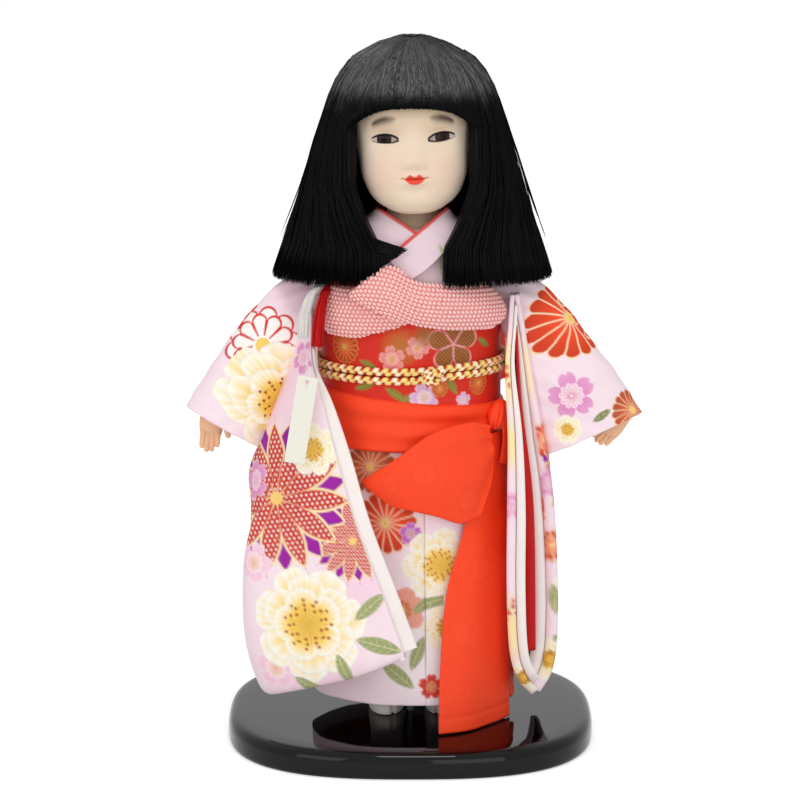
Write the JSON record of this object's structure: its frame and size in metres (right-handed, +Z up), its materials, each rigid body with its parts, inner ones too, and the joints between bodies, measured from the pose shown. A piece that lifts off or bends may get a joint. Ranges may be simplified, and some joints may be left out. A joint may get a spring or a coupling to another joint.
{
  "type": "ichimatsu doll",
  "caption": "Standing ichimatsu doll with bobbed black hair in a long-sleeved flowered kimono, obi and sash, on a black lacquered board; head and arms move and the doll lifts off its rod.",
  "frame": {"origin": "centre of the board's underside", "axes": "+Z up, the doll faces -Y, +X to the doll's left"},
  "size_m": [0.2684, 0.2, 0.4255],
  "materials": {
    "lacquer": "black lacquer, high gloss",
    "steel": "bare drawn rod",
    "composition": "bare wood composition, matte",
    "skin": "shell-white coat over wood composition, satin",
    "hand": "tinted shell-white coat over wood composition, satin",
    "eye": "polished dark brown glass",
    "tabi": "plain white cotton",
    "print": "pale pink silk crepe printed with flowers",
    "lining": "plain white silk",
    "red_silk": "plain red silk",
    "brocade": "red brocade with gold, pink and lilac flowers",
    "dappled": "pink tie-dyed silk with raised dots",
    "braid": "cream and gold braided silk cord",
    "sash": "orange-red satin with tone-on-tone flowers",
    "white_silk": "white silk thread",
    "paper": "plain blank card",
    "hair": "black silk fibre, satin sheen"
  },
  "bodies": {
    "stand": {"stand_base": "lacquer", "support_post": "steel", "post_flange": "steel", "flange_screw_1": "steel", "flange_screw_2": "steel", "flange_screw_3": "steel"},
    "doll": {"torso": "composition", "neck_socket": "composition", "right_leg": "skin", "right_tabi": "tabi", "left_leg": "skin", "left_tabi": "tabi", "kimono_bodice": "print", "kimono_skirt": "print", "kimono_overlap": "print", "under_skirt": "red_silk", "collar_left": "print", "collar_right": "print", "under_collar": "red_silk", "obi": "brocade", "obi_bow_left": "brocade", "obi_bow_right": "brocade", "obi_bow_knot": "brocade", "obi_bow_tail": "brocade", "obiage_right": "dappled", "obiage_left": "dappled", "obijime_upper": "braid", "obijime_lower": "braid", "obijime_knot": "braid", "shigoki_band": "sash", "shigoki_knot": "sash", "shigoki_loop": "sash", "shigoki_long_tail": "sash", "shigoki_short_tail": "sash", "tassel_cord": "red_silk", "tassel_white": "white_silk", "tassel_red": "red_silk"},
    "head": {"head": "skin", "right_eye": "eye", "left_eye": "eye", "hair_crown": "hair", "hair_bangs": "hair", "hair_right": "hair", "hair_left": "hair", "hair_back": "hair"},
    "right_arm": {"right_arm": "composition", "right_hand": "hand", "right_cuff_liner": "red_silk", "right_sleeve": "print", "right_sleeve_lining": "lining"},
    "left_arm": {"left_arm": "composition", "left_hand": "hand", "left_cuff_liner": "red_silk", "left_sleeve": "print", "left_sleeve_lining": "lining", "left_juban_sleeve": "red_silk"},
    "tag": {"tag_thread": "white_silk", "paper_tag": "paper"}
  },
  "joints": [
    {"name": "doll_lift", "type": "slide", "parent": "stand", "child": "doll", "axis": [0, 0, 1], "range_m": [0, 0.165]},
    {"name": "head_turn", "type": "hinge", "parent": "doll", "child": "head", "pos_m": [0.0022, -0.002, 0.295], "axis": [0, 0, 1], "range_deg": [-8, 8]},
    {"name": "right_arm_swing", "type": "hinge", "parent": "doll", "child": "right_arm", "pos_m": [-0.043, 0, 0.284], "axis": [-1, 0, 0], "range_deg": [0, 15]},
    {"name": "left_arm_swing", "type": "hinge", "parent": "doll", "child": "left_arm", "pos_m": [0.043, 0, 0.284], "axis": [-1, 0, 0], "range_deg": [0, 15]},
    {"name": "tag_swing", "type": "hinge", "parent": "right_arm", "child": "tag", "pos_m": [-0.0609, -0.03775, 0.2395], "axis": [-1, 0, 0], "range_deg": [0, 35]}
  ]
}
